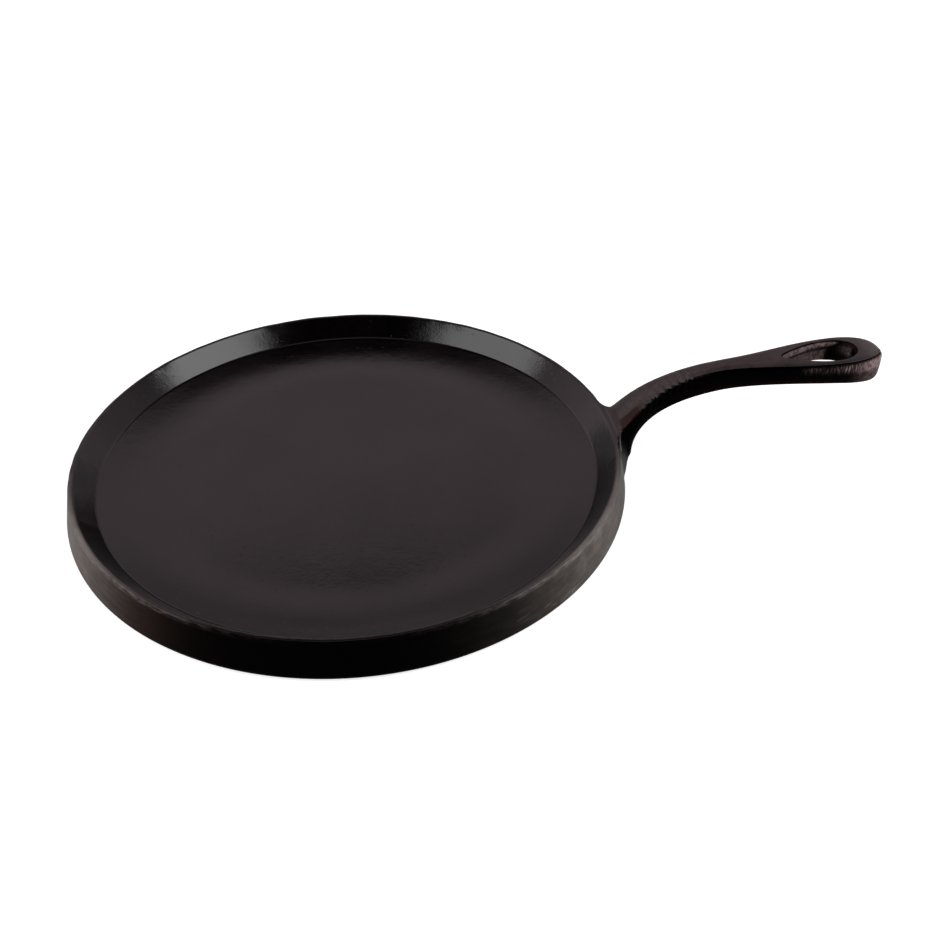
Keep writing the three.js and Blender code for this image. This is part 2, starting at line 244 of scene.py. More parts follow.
# Stretches of the rim: the middle and the width of each in degrees from the handle, and its strength.
WORN_LIP = [(-146, 20, 1), (-47, 20, 1)]
GROUND_SKIRT = [(-48, 26, 1), (-134, 16, 0.6)]
SCRAPED_SKIRT = [(-47, 13, 1)]
# The rubbed stretches lie on the skirt's lit ends: rubbed bare iron that is also a painted highlight.
RUBBED_AND_LIT_SKIRT = [(-36, 20, 0.95), (-157, 15, 1.05)]
BROWNED_SKIRT = [(-144, 14, 0.9)]

# Turns in degrees: where the rubbing and its painted highlight start beside the root, and the inside wall's
# darker stretch. Then how far the lip's wear and finish reach, and the steps from the inside and from the
# base to the skirt's wear.
CLEAR_OF_ROOT, DARK_WALL_TURNS = (7, 11), (-163, -117)
LIP_WIDTH, LIP_DEPTH, INSIDE_LIP = 0.8 * MM, (0.8 * MM, 2 * MM), 2 * MM
SKIRT_EDGE, SKIRT_FOOT = (0.5 * MM, 3 * MM), (0, 3 * MM)

# Places on the handle as reaches from the lip, from the tip or from the middle line. Each is a smooth step's
# start and end, or a bell's middle and width.
HANDLE_START = (0.5 * MM, 3 * MM)
ROOT_PATCH_START, ROOT_PATCH_END = (1.6 * MM, 3 * MM), (9 * MM, 13.5 * MM)
ROOT_PATCH_SIDE = (3.4 * MM, 5 * MM)
# Painted shade in the crease where the root meets the lip.
CREASE, CREASE_SIDE = (2.2 * MM, 0.8 * MM), (6 * MM, 10 * MM)
# The neck's foot and the near side of its top take painted light.
NECK_FOOT, NECK_TOP, NECK_SIDE = (14 * MM, 5 * MM), (35 * MM, 47 * MM), (-5 * MM, 2 * MM)
# The first is where the painted warm reflection low on the sides comes in, the second where the painted shade
# along the top's edges does.
LOW_SIDE, EDGE_SHADE_REACH = (15 * MM, 55 * MM), (40 * MM, 60 * MM)
# Painted glints along the grip's near edge, in two stretches.
GLINT_REACHES = (85 * MM, 91 * MM), (101 * MM, 109 * MM)
# A painted highlight on the eye's end wall.
END_SPOT, END_SPOT_SIDE = (115.5 * MM, 2.6 * MM), (1 * MM, 3 * MM)
# Painted light on the tip's lit side; the tip's top is rubbed.
TIP_SIDE, TIP_TOP = (7 * MM, 22 * MM), (4 * MM, 14 * MM)
FAR_HALF, LIT_WALL_END = (0, 3 * MM), 24 * MM

# Heights as shares of the handle's thickness from its middle. The shade under the eye's ridge rises along the
# eye, and the end of the lit wall leans towards the tip by a reach for each share of height.
UPPER_HALF, LOW_HEIGHT, FOOT_LIGHT = (-0.12, 0.12), (-0.45, -0.1), (-0.42, -0.25)
GLINT_BAND, END_SPOT_HEIGHT = (0.25, 0.15), (0.17, 0.17)
LOW_WALL, WALL_RIDGE, WALL_TOP = (0, 0.2), (0.1, 0.2), (0.38, 0.44)
RIDGE_SHADE, RIDGE_RISE = (0.15, 0.09), 0.08
LEAN_START, LEAN_MOST, LIT_WALL_LEAN = 0.1, 0.4, 50 / 3 * MM

# How far a surface looks up, and shares of the handle's half width and of the eye's outline.
STEEP, ROOT_UP, NECK_UP, LEVEL = (0.3, 0.6), (0.4, 0.55), (0.45, 0.6), (0.6, 0.9)
EDGE_SHARE, EYE_WALL_EDGE = (0.66, 0.98), (0.93, 1.03)

# How strongly each place on the handle shows, and what is left of a strength where its smooth step starts.
# The first row is painted light on the eye's wall, its end spot, the tip's side and the neck; the second is
# painted warm reflection on the sides and in the eye, and painted shade in the root's crease; the third is
# painted light at the neck's foot and rubbing on the tip's top; the last keeps some painted light low on the
# wall and the tip, and weakens the first painted glints.
WALL_LIGHT, END_SPOT_LIGHT, TIP_LIGHT, NECK_LIGHT = 0.8, 0.35, 0.95, 0.06
LOW_SIDE_REFLECTION, LOW_WALL_REFLECTION, CREASE_SHADE = 0.25, 0.5, 0.7
NECK_FOOT_LIGHT, RUBBED_TIP = 0.12, 0.2
LEFT_ON_WALL, LEFT_ON_TIP, FIRST_GLINTS = 0.45, 0.3, 0.25

# Noises in the iron: what each follows, the size of a feature, its detail and roughness, how it is stretched
# along X, Y and Z, and by how many degrees it is turned. The finest are drawn as coarse as the picture needs.
IRON_NOISES = {
    "cloud": ("object", 45 * MM, 2, 0.5, (1, 1, 1), 0),
    "mottle": ("object", 14 * MM, 4, 0.5, (1, 1, 1), 0),
    "patches": ("object", 9 * MM, 3, 0.5, (1, 1, 1), 0),
    "swell": ("object", 7 * MM, 2, 0.5, (1, 1, 1), 0),
    "smudges": ("object", 3.5 * MM, 4, 0.5, (1, 1, 1), 0),
    "speckle": ("object", 1.5 * MM, 4, 0.5, (1, 1, 1), 0),
    "grain": ("object", 1.1 * MM, 3, 0.6, (1, 1, 1), 0),
    "streaks": ("object", 0.8 * MM, 3, 0.5, (1, 1, 16), 0),
    "upright": ("object", 0.7 * MM, 2, 0.5, (1, 1, 7), 0),
    "wipes": ("unrolled", 2.5 * MM, 3, 0.5, (6, 1, 1), 0),
    "chips": ("unrolled", 1.1 * MM, 4, 0.5, (4, 1, 1), 0),
    "scrapes": ("unrolled", 0.55 * MM, 2, 0.5, (26, 1, 1), 9),
}

# Smooth steps of those noises: from low to high, and what they give there.
IRON_STEPS = {
    "dark_mottle": ("mottle", 0.3, 0.65, 0.3, 1),
    "dark_smudges": ("smudges", 0.35, 0.6, 0.4, 1),
    # Breaks up the painted shade at the handle's edges.
    "edge_shade_mottle": ("mottle", 0.2, 0.6, 0.6, 0.85),
    "brown_mottle": ("mottle", 0.3, 0.6, 0.5, 1),
    # These two break up the painted light.
    "light_speckle": ("speckle", 0.38, 0.62, 0.4, 1),
    "light_upright": ("upright", 0.4, 0.6, 0.8, 1),
    # Breaks the painted glints into upright flecks.
    "glint_upright": ("upright", 0.48, 0.6, 0.1, 0.6),
    "rubbed_wipes": ("wipes", 0.3, 0.7, 0.75, 1),
    "rubbed_patches": ("patches", 0.35, 0.65, 0.8, 1),
    "scraped_patches": ("patches", 0.5, 0.6, 0, 1),
    "scraped_lines": ("scrapes", 0.6, 0.72, 0, 1),
    "worn_chips": ("chips", 0.38, 0.62, 0.1, 0.65),
    "metal_grain": ("grain", 0.3, 0.6, 0.6, 1),
}

# Amounts, as products of masks and steps, in order: clouds in the coat, painted shade at the handle's edges,
# a brown coat with painted warm reflection, painted light, painted glints, rubbing with a painted highlight,
# scratches and chips.
IRON_AMOUNTS = {
    "clouded": ("dark_mottle", "dark_smudges"),
    "dulled": ("dull_edge", "edge_shade_mottle"),
    "browned_and_reflected": ("brown", "brown_mottle"),
    "painted_light_amount": ("thin", "light_speckle", "light_upright"),
    "glinted": ("edge_marks", "glint_upright"),
    "wiped_off_and_lit": ("rubbed", "rubbed_wipes", "rubbed_patches"),
    "scratched": ("scraped", "scraped_lines", "scraped_patches"),
    "chipped": ("worn", "worn_chips"),
}

# The shade of the coat's clouds, what changes its roughness, and the bumps: the depth of the grain and the
# streaks, how strong the streaks are off and on ground iron, and the pits' spacing and edge.
CLOUD_SHADE = 0.45
CLOUD_STEP, ROUGHNESS_DRIFT = (0.3, 0.7), 0.03
LIP_ROUGHER, BROWN_ROUGHER = 0.08, 0.45
GRAIN_DEPTH, STREAK_STRENGTH = 0.12 * MM, (0.15, 0.8)
PIT_SPACING, PIT_EDGE = 5 * MM, (0.05, 0.11)

# The studio: each panel's azimuth, elevation, distance, width and height, and each glow's azimuth, elevation,
# core, reach and, but for the screen, brightness. Each edge of the screen is a smooth step's start and end,
# with the light below and above it. Angles are in degrees and lengths in metres.
RIGHT_PANEL, LEFT_PANEL = (-18, 45, 1.5, 0.86, 0.8), (-175, 41, 1.5, 1.03, 0.8)
SCREEN = (88, 36, 24, 52)
SCREEN_EDGES = [((28, 35), 0.5, 1), ((42, 46), 1, 0)]
GLOWS = [
    (88, 10, 6, 16, 0.35),
    (30, 24, 6, 34, 0.5),
    (141, 20, 6, 34, 0.75),
    (-45, 12, 10, 38, 0.3),
    (-135, 12, 10, 38, 0.3),
    (0, 90, 4, 27, 0.42),
]
DARK_ROOM, ROOM_TINT = 0.004, "#ffeaf2"

# The floor is a level disc that bends up into a low wall, a hair under the pan. Its glow falls between two
# reaches. The camera's sensor is in millimetres.
FLOOR_RADIUS, FLOOR_BEND, FLOOR_WALL, FLOOR_THICKNESS = 3.2, 0.6, 0.15, 0.02
FLOOR_MIDDLE, UNDER_PAN = 0.1, 0.05 * MM
FLOOR_GLOW_REACH, FLOOR_GLOW = (1.3, 2.8), (0.8, 0.14)
SENSOR_WIDTH = 36


def eased(value, low, high):
    """A smooth step: t = (value - low) / (high - low), held to 0 and 1, gives t^2 (3 - 2 t)."""
    t = np.clip((value - low) / (high - low), 0, 1)
    return t * t * (3 - 2 * t)


def bump_at(value, middle, width):
    """A bell curve, e^(-((value - middle) / width)^2)."""
    return np.exp(-(((value - middle) / width) ** 2))


def faded(value, low, high):
    """A smooth step down, 1 - eased(value, low, high)."""
    return 1 - eased(value, low, high)


def bells(value, places):
    """A sum of bell curves, each given by its middle, its width and its height."""
    return sum(height * bump_at(value, middle, width) for middle, width, height in places)


def arc(centre, radius, start, end, steps):
    """Points centre + radius (cos a, sin a), for angles a from start to end in degrees."""
    a = np.radians(np.linspace(start, end, steps + 1))
    return np.stack([centre[0] + radius * np.cos(a), centre[1] + radius * np.sin(a)], axis=1)


def hollow(corner, steep, shallow, radius, steps):
    """An arc that rounds the hollow corner between a steep and a shallow line and touches both, from the
    steep one to the shallow one. Slopes are in degrees."""
    s = np.radians(shallow)
    touch = radius * np.tan(np.radians(steep - shallow) / 2)
    along, inwards = np.array([np.cos(s), np.sin(s)]), np.array([-np.sin(s), np.cos(s)])
    return arc(np.array(corner) - touch * along + radius * inwards, radius, steep - 90, shallow - 90, steps)


def between(start, end, steps):
    """Evenly spaced points of a straight line, without its two ends."""
    share = np.linspace(0, 1, steps + 1)[1:-1, None]
    return np.array(start) * (1 - share) + np.array(end) * share


def sweep(start, leaving, end, arriving, pulls, share):
    """Points of a cubic curve p = (1-t)^3 a + 3 (1-t)^2 t b + 3 (1-t) t^2 c + t^3 d. It leaves a and reaches
    d at the given angles, and b and c lie along those angles at shares of the distance from a to d."""
    start, end = np.array(start), np.array(end)
    chord = np.hypot(*(end - start))
    leave = start + pulls[0] * chord * np.array([np.cos(leaving), np.sin(leaving)])
    arrive = end - pulls[1] * chord * np.array([np.cos(arriving), np.sin(arriving)])
    t = np.asarray(share)[..., None]
    return (1 - t) ** 3 * start + 3 * (1 - t) ** 2 * t * leave + 3 * (1 - t) * t**2 * arrive + t**3 * end


def waver(turn, seed, first, last):
    """An uneven closed line round the dish: the sum of sin(k turn + phase) / sqrt(k) for k from first to
    last, with seeded phases, brought to about one at its highest."""
    phases = np.random.default_rng(seed).uniform(0, 2 * np.pi, last - first + 1)
    k = np.arange(first, last + 1)
    waves = np.sin(np.multiply.outer(turn, k) + phases) / np.sqrt(k)
    total = waves.sum(axis=-1)
    return total / np.abs(total).max()


def skin(rings):
    """Points and faces of a closed surface through rings of equal count. Each ring point joins the next one
    round and the same one of the next ring, and the end rings close on their centres."""
    rows, count = rings.shape[:2]
    ring = np.arange(count)
    after = np.roll(ring, -1)
    start = (np.arange(rows - 1) * count)[:, None]
    quads = np.stack([start + ring, start + after, start + after + count, start + ring + count], axis=-1)
    first, last = rows * count, rows * count + 1
    lowest = np.stack([after, ring, np.full(count, first)], axis=-1)
    highest = np.stack([ring, after, np.full(count, last)], axis=-1)
    highest[:, :2] += (rows - 1) * count
    points = np.concatenate([rings.reshape(-1, 3), [rings[0].mean(axis=0)], [rings[-1].mean(axis=0)]])
    return points, quads.reshape(-1, 4), np.concatenate([lowest, highest])


def mesh_object(name, rings, kind):
    """A closed mesh through rings, linked to the scene. Its faces all carry one material number."""
    points, quads, triangles = skin(rings)
    mesh = bpy.data.meshes.new(name)
    mesh.vertices.add(len(points))
    mesh.vertices.foreach_set("co", points.astype(np.float32).ravel())
    corners = np.concatenate([quads.ravel(), triangles.ravel()]).astype(np.int32)
    mesh.loops.add(len(corners))
    mesh.loops.foreach_set("vertex_index", corners)
    starts = np.concatenate([np.arange(len(quads)) * 4, len(quads) * 4 + np.arange(len(triangles)) * 3])
    mesh.polygons.add(len(starts))
    mesh.polygons.foreach_set("loop_start", starts.astype(np.int32))
    mesh.polygons.foreach_set("material_index", np.full(len(starts), kind, np.int32))
    mesh.update(calc_edges=True)
    mesh.validate()
    obj = bpy.data.objects.new(name, mesh)
    bpy.context.scene.collection.objects.link(obj)
    return obj


def revolve(profile, turns):
    """Rings of a profile of (radius, height) points turned about +Z: (r cos a, r sin a, z) for each angle."""
    radius, height = profile[:, :1], profile[:, 1:]
    return np.stack([radius * np.cos(turns), radius * np.sin(turns), height + 0 * turns], axis=-1)


def skirt_radius(dish, z):
    """The skirt's radius at a height: the lip's, plus the flare times 1 - z / rim height."""
    return dish.rim_radius + dish.skirt_flare * (1 - np.clip(z / dish.rim_height, 0, 1))


def dish_profile(dish):
    """The dish's half section from the middle of its under side to the middle of its floor: flat base, round
    edge, leaning skirt, round lip, sloping wall, round foot, outer band that still rises a little, and flat
    floor, each arc touching its neighbours."""
    lean = np.degrees(np.arctan(dish.skirt_flare / dish.rim_height))
    slope, edge_slope = dish.wall_slope, dish.edge_slope
    edge = (skirt_radius(dish, 0.0) - dish.base_edge_radius, dish.base_edge_radius)
    lip = (dish.rim_radius - dish.lip_radius, dish.rim_height - dish.lip_radius)
    inner_lip = (lip[0] - dish.lip_land, lip[1])
    wall_top = np.array(inner_lip) + dish.lip_radius * np.array([-np.sin(slope), np.cos(slope)])
    foot_x = dish.rim_radius - dish.wall_width
    foot = np.array([foot_x, wall_top[1] - (wall_top[0] - foot_x) * np.tan(slope)])
    bend = (foot_x - (foot[1] - dish.floor_thickness) / np.tan(edge_slope), dish.floor_thickness)
    base_arc = arc(edge, dish.base_edge_radius, -90, lean, 10)
    outer_round = arc(lip, dish.lip_radius, lean, 90, 8)
    inner_round = arc(inner_lip, dish.lip_radius, 90, 90 + np.degrees(slope), 6)
    lip_arc = np.concatenate([outer_round, inner_round])
    foot_arc = hollow(foot, np.degrees(slope), np.degrees(edge_slope), dish.foot_radius, 10)
    bend_arc = hollow(bend, np.degrees(edge_slope), 0, dish.floor_bend, 10)
    middle = 0.5 * MM
    under = between((middle, 0), base_arc[0], 8)
    floor = between(bend_arc[-1], (middle, dish.floor_thickness), 14)
    parts = [
        [(middle, 0)],
        under,
        base_arc,
        between(base_arc[-1], lip_arc[0], 22),
        lip_arc,
        between(lip_arc[-1], foot_arc[0], 10),
        foot_arc,
        between(foot_arc[-1], bend_arc[0], 8),
        bend_arc,
        floor,
        [(middle, dish.floor_thickness)],
    ]
    return np.concatenate(parts)


def dish_turns():
    """Angles round the dish, closest together where the handle's root meets it."""
    near = np.radians(14)
    return np.concatenate([np.linspace(-near, near, 161)[:-1], np.linspace(near, 2 * np.pi - near, 401)[:-1]])


def dish_rings(dish):
    """The dish turned from its half section. Its lip wavers in radius and height, as one ground by hand."""
    turns = dish_turns()
    rings = revolve(dish_profile(dish), turns)
    near_lip = eased(rings[..., 2], dish.rim_height - LIP_BAND, dish.rim_height)
    clear_of_root = 1 - bump_at(np.abs((turns + np.pi) % (2 * np.pi) - np.pi), 0, EVEN_TURN)
    sway = near_lip * clear_of_root * dish.lip_unevenness
    outwards = np.stack([np.cos(turns), np.sin(turns), 0 * turns], axis=-1)
    rings += (sway * waver(turns, seed=3, first=7, last=90))[..., None] * outwards
    rings[..., 2] += LIP_SWELL * sway * waver(turns, seed=8, first=3, last=60)
    return rings


def half_width(handle, reach):
    """Half the handle's width. Up to the waist it is n + (r - n)(1 - reach / waist)^3, then it swells to the
    paddle along half a cosine wave, and the tip is half an ellipse."""
    neck, paddle = handle.neck_width / 2, handle.paddle_width / 2
    root = neck + (handle.root_width / 2 - neck) * (1 - np.clip(reach / WAIST_REACH, 0, 1)) ** 3
    along = np.clip((reach - WAIST_REACH) / (PADDLE_REACH - WAIST_REACH), 0, 1)
    swell = neck + (paddle - neck) * (1 - np.cos(np.pi * along)) / 2
    past = np.clip((reach - PADDLE_REACH) / (handle.reach - PADDLE_REACH), 0, 1)
    return np.where(reach < WAIST_REACH, root, swell) * np.sqrt(1 - past**2)


def handle_station(dish, handle, x):
    """The handle's section plane at x on its top line: the plane's middle and upward direction in X and Z,
    the section's half width, and its thickness. The top line rises in one sweep to the crest and runs on
    straight. The under line is a quarter ellipse at the foot, a sweep to the crest and one to the tip."""
    rim, height = dish.rim_radius, dish.rim_height
    root = (rim - ROOT_OVERLAP, height - ROOT_OVERLAP * np.tan(LEAVING_ANGLE) + CROWN)
    crest = (rim + handle.crest_reach, height + handle.crest_rise)
    tip_x = rim + handle.reach
    rise = np.tan(handle.grip_slope)
    tip_z = crest[1] + (tip_x - crest[0]) * rise
    crest_under = (crest[0], crest[1] - handle.grip_depth)
    foot_top = (rim + FOOT_REACH, FOOT_CLEARANCE + FOOT_HEIGHT)
    share = np.linspace(0, 1, 4000)

    top_line = sweep(root, LEAVING_ANGLE, crest, handle.grip_slope, NECK_TOP_PULLS, share)
    place = np.interp(x, top_line[:, 0], share)
    top = sweep(root, LEAVING_ANGLE, crest, handle.grip_slope, NECK_TOP_PULLS, place)
    foot_middle = skirt_radius(dish, 0.0) - dish.base_edge_radius
    turn = np.clip(place / FOOT_SHARE, 0, 1) * np.pi / 2
    foot = np.stack(
        [foot_middle + (foot_top[0] - foot_middle) * np.sin(turn), foot_top[1] - FOOT_HEIGHT * np.cos(turn)],
        axis=-1,
    )
    past_foot = np.clip((place - FOOT_SHARE) / (1 - FOOT_SHARE), 0, 1)
    neck = sweep(foot_top, np.pi / 2, crest_under, UNDER_ARRIVAL, NECK_UNDER_PULLS, past_foot)
    under = np.where((place < FOOT_SHARE)[..., None], foot, neck)

    grip_line = sweep(
        crest_under, UNDER_ARRIVAL, (tip_x, tip_z - handle.tip_depth), -UNDER_DROOP, GRIP_UNDER_PULLS, share
    )
    grip_top = np.stack([x, crest[1] + (x - crest[0]) * rise], axis=-1)
    grip_under = np.stack([x, np.interp(x, grip_line[:, 0], grip_line[:, 1])], axis=-1)
    on_grip = (x >= crest[0])[..., None]
    top, under = np.where(on_grip, grip_top, top), np.where(on_grip, grip_under, under)

    middle = (top + under) / 2
    thickness = np.linalg.norm(top - under, axis=-1)
    upward = (top - under) / thickness[..., None]
    reach = middle[..., 0] - rim
    past = np.clip((reach - PADDLE_REACH) / (handle.reach - PADDLE_REACH), 0, 1)
    return middle, upward, half_width(handle, reach), thickness * np.cbrt(1 - past**TIP_SQUARENESS)


def rib_lift(handle, reach):
    """The thumb ribs' waves: h (w^p - trough), with w = (1 + sin(2 pi reach / pitch)) / 2, faded in and out
    at the first and the last rib."""
    along = (reach - RIB_REACH) / handle.rib_pitch
    wave = ((1 + np.sin(2 * np.pi * along)) / 2) ** RIB_SHARPNESS
    fade = eased(along, *FIRST_RIB) * faded(along, handle.rib_count - 0.5, handle.rib_count)
    return handle.rib_height * (wave - RIB_TROUGH) * fade


def handle_sections(handle, half, thickness, reach):
    """Sections drawn about their middles, one row for each station: a flat under side with round corners,
    sides that lean in each way from the parting line, and a crowned top with round corners. The ribs stand
    out up and sideways, whole along the right edge and worn down across the top."""
    half, up = half[:, None], thickness[:, None] / 2
    edge = np.maximum(LEAST_EDGE * half, half - up * SIDE_DRAFT)
    top_round = np.minimum(TOP_EDGE_RADIUS, TOP_EDGE_MOST * np.minimum(edge, up))
    under_round = np.minimum(UNDER_EDGE_RADIUS, UNDER_EDGE_MOST * np.minimum(edge, up))
    crown = np.minimum(CROWN, CROWN_MOST * up)
    corner = np.radians(np.linspace(-90, 0, 7))
    share = np.linspace(0, 1, 7)[1:-1]

    under_x, under_y = edge - under_round, under_round - up
    corner_top_y = up - crown - top_round
    outwards, inwards = np.linspace(0, 1, 7)[:-1], np.linspace(1, 0, 9)[1:]
    across = np.concatenate(
        [
            under_x * outwards,
            under_x + under_round * np.cos(corner),
            edge + (half - edge) * share,
            half,
            half + (edge - half) * share,
            edge - top_round + top_round * np.cos(corner + np.pi / 2),
            (edge - top_round) * inwards,
        ],
        axis=1,
    )
    fall = (inwards * (edge - top_round) / edge) ** 2 + top_round / edge * inwards**8
    above = np.concatenate(
        [
            -up + 0 * outwards,
            under_y + under_round * np.sin(corner),
            under_y * (1 - share),
            0 * half,
            corner_top_y * share,
            corner_top_y + top_round * np.sin(corner + np.pi / 2),
            up - crown * fall,
        ],
        axis=1,
    )
    across = np.concatenate([across, -across[:, -2:0:-1]], axis=1)
    above = np.concatenate([above, above[:, -2:0:-1]], axis=1)
    sideways = across / half
    kept = RIB_EDGE * faded(sideways, *RIB_EDGE_BAND) + RIB_TOP * faded(sideways, *RIB_TOP_BAND)
    lift = np.where(above > 0, rib_lift(handle, reach)[:, None] * kept, 0)
    return across + RIB_SPREAD * np.sign(across) * lift, above + lift


def handle_places(dish, handle):
    """Where the stations stand along X: closest at the flared root, close across the ribs, wider on the
    grip, and easing in to the tip along a sine."""
    rim = dish.rim_radius
    marks = rim + np.array([-ROOT_OVERLAP, FLARE_END, RIBS_CLEAR, handle.crest_reach, PADDLE_REACH])
    rows = [np.arange(a, b, step) for a, b, step in zip(marks[:-1], marks[1:], STATION_STEPS)]
    tip_turn = np.linspace(0, np.pi / 2, 26)
    tip = marks[-1] + (handle.reach - PADDLE_REACH) * np.sin(tip_turn)
    tip[-1] -= TIP_GAP
    return np.concatenate(rows + [tip])


def handle_rings(dish, handle):
    """The handle's skin. Each section leans along the neck as far as the ribs do, so a point p across from
    the middle takes the station at x - p tan(skew). Near the skirt, a point spreads sideways by
    flare (1 - gap / reach)^2 and moves back by the sagitta of the round dish."""
    rim = dish.rim_radius
    x = handle_places(dish, handle)
    _, _, half, thickness = handle_station(dish, handle, x)
    across, above = handle_sections(handle, half, thickness, x - rim)
    ribs_end = RIB_REACH + handle.rib_count * handle.rib_pitch
    share = eased(x - rim, 0, RIB_REACH) * (1 - eased(x - rim, ribs_end, handle.crest_reach))
    lean = (share * RIB_SKEW)[:, None]
    middle, upward, half_there, thickness_there = handle_station(dish, handle, x[:, None] - across * lean)
    y = across * half_there / half[:, None]
    height = above * thickness_there / thickness[:, None]
    px = middle[..., 0] + upward[..., 0] * height
    pz = middle[..., 1] + upward[..., 1] * height

    level = np.clip(pz / dish.rim_height, 0, 1)
    flare_reach = BASE_FLARE_REACH + (LIP_FLARE_REACH - BASE_FLARE_REACH) * level
    closeness = np.clip(1 - (px - skirt_radius(dish, pz)) / flare_reach, 0, 1)
    spread = (BASE_FLARE + (LIP_FLARE - BASE_FLARE) * level) * closeness**2
    y = y * (1 + spread / half_there)
    sagitta = rim - np.sqrt(rim**2 - y**2)
    return np.stack([px - closeness * sagitta, y, pz], axis=-1)


def eye_middle(dish, handle):
    """X of the middle of the hanging eye."""
    return dish.rim_radius + handle.reach - handle.tip_wall - handle.eye_length / 2


def eye_rings(dish, handle):
    """The iron that the eye takes out. Its plan is an egg, (a cos t, b sin t (1 + f cos t)). It shrinks by a
    round at each face, leans in to a thin ridge where the mould parted, and leans out again below it."""
    turn = np.linspace(0, 2 * np.pi, 161)[:-1]
    bend = np.radians(np.linspace(8, 90, 9))
    beyond = 3 * MM
    near_ridge = EYE_RIDGE_SHARE + np.linspace(-0.1, 0.1, 15)
    wall = np.concatenate(
        [np.linspace(0, near_ridge[0], 8)[1:-1], near_ridge, np.linspace(near_ridge[-1], 1, 6)[1:-1]]
    )
    ridge = EYE_RIDGE * bump_at((wall - EYE_RIDGE_SHARE) * handle.tip_depth, 0, EYE_RIDGE_WIDTH)
    innermost = EYE_TOP_EDGE + EYE_TOP_DRAFT
    below = EYE_UNDER_DRAFT * (1 - wall / EYE_RIDGE_SHARE)
    above = EYE_TOP_DRAFT * (wall - EYE_RIDGE_SHARE) / (1 - EYE_RIDGE_SHARE)
    outwards = np.where(wall < EYE_RIDGE_SHARE, below, above)

    # For each level: how far the outline grows, how far in it is from the lower or the upper face, and its
    # share of the way from the one to the other.
    under_face = EYE_UNDER_DRAFT + EYE_UNDER_EDGE - innermost
    grow = np.concatenate(
        [
            [under_face + beyond],
            under_face - EYE_UNDER_EDGE * np.sin(bend),
            outwards - innermost - ridge,
            -EYE_TOP_EDGE * np.sin(bend[::-1]),
            [beyond],
        ]
    )
    under_in, top_in = EYE_UNDER_EDGE * (1 - np.cos(bend)), EYE_TOP_EDGE * (1 - np.cos(bend[::-1]))
    from_face = np.concatenate([[-beyond], under_in, 0 * wall, top_in, [-beyond]])[:, None]
    share = np.concatenate([[0], 0 * bend, wall, 0 * bend + 1, [1]])[:, None]

    long = (handle.eye_length / 2 + grow)[:, None] * np.cos(turn)
    wide = (handle.eye_width / 2 + grow)[:, None] * np.sin(turn) * (1 + EYE_FULLNESS * np.cos(turn))
    x = eye_middle(dish, handle) + long
    on_paddle = np.clip(x, 0, dish.rim_radius + PADDLE_REACH)
    middle, _, half, thickness = handle_station(dish, handle, on_paddle)
    top = middle[..., 1] + thickness / 2 + (x - middle[..., 0]) * np.tan(handle.grip_slope)
    under = middle[..., 1] - thickness / 2
    sag = CROWN * np.clip(np.abs(wide) / half, 0, 1) ** 2
    low_wall, high_wall = under + EYE_UNDER_EDGE, top - sag - EYE_TOP_EDGE
    on_wall = low_wall + (high_wall - low_wall) * share
    z = np.where(share == 0, under + from_face, np.where(share == 1, top - sag - from_face, on_wall))
    return np.stack([x, wide, z], axis=-1)


def combined(target, tool, operation):
    """Joins a tool to a mesh or cuts it out, puts the result in the mesh and removes the tool."""
    change = target.modifiers.new(operation.lower(), "BOOLEAN")
    change.operation, change.solver, change.object = operation, "EXACT", tool
    bpy.context.view_layer.update()
    evaluated = target.evaluated_get(bpy.context.evaluated_depsgraph_get())
    mesh = bpy.data.meshes.new_from_object(evaluated)
    target.modifiers.clear()
    target.data = mesh
    bpy.data.objects.remove(tool)


def positions(mesh):
    """The mesh's vertices as an array."""
    flat = np.empty(len(mesh.vertices) * 3, np.float32)
    mesh.vertices.foreach_get("co", flat)
    return flat.reshape(-1, 3).astype(float)


def tidied(mesh, distance):
    """Merges vertices closer than a distance, so that no sliver is left along a cut."""
    work = bmesh.new()
    work.from_mesh(mesh)
    bmesh.ops.remove_doubles(work, verts=work.verts, dist=distance)
    bmesh.ops.dissolve_degenerate(work, edges=work.edges, dist=distance)
    work.to_mesh(mesh)
    work.free()
    mesh.update()


def seam_points(mesh):
    """Vertices that touch faces of both material numbers, found from every face's corners at once."""
    totals = np.empty(len(mesh.polygons), np.int32)
    kinds = np.empty(len(mesh.polygons), np.int32)
    corners = np.empty(len(mesh.loops), np.int32)
    mesh.polygons.foreach_get("loop_total", totals)
    mesh.polygons.foreach_get("material_index", kinds)
    mesh.loops.foreach_get("vertex_index", corners)
    corner_kinds = np.repeat(kinds, totals)
    touches = [np.zeros(len(mesh.vertices), bool) for _ in range(2)]
    for kind, touch in enumerate(touches):
        touch[corners[corner_kinds == kind]] = True
    return touches[0] & touches[1]


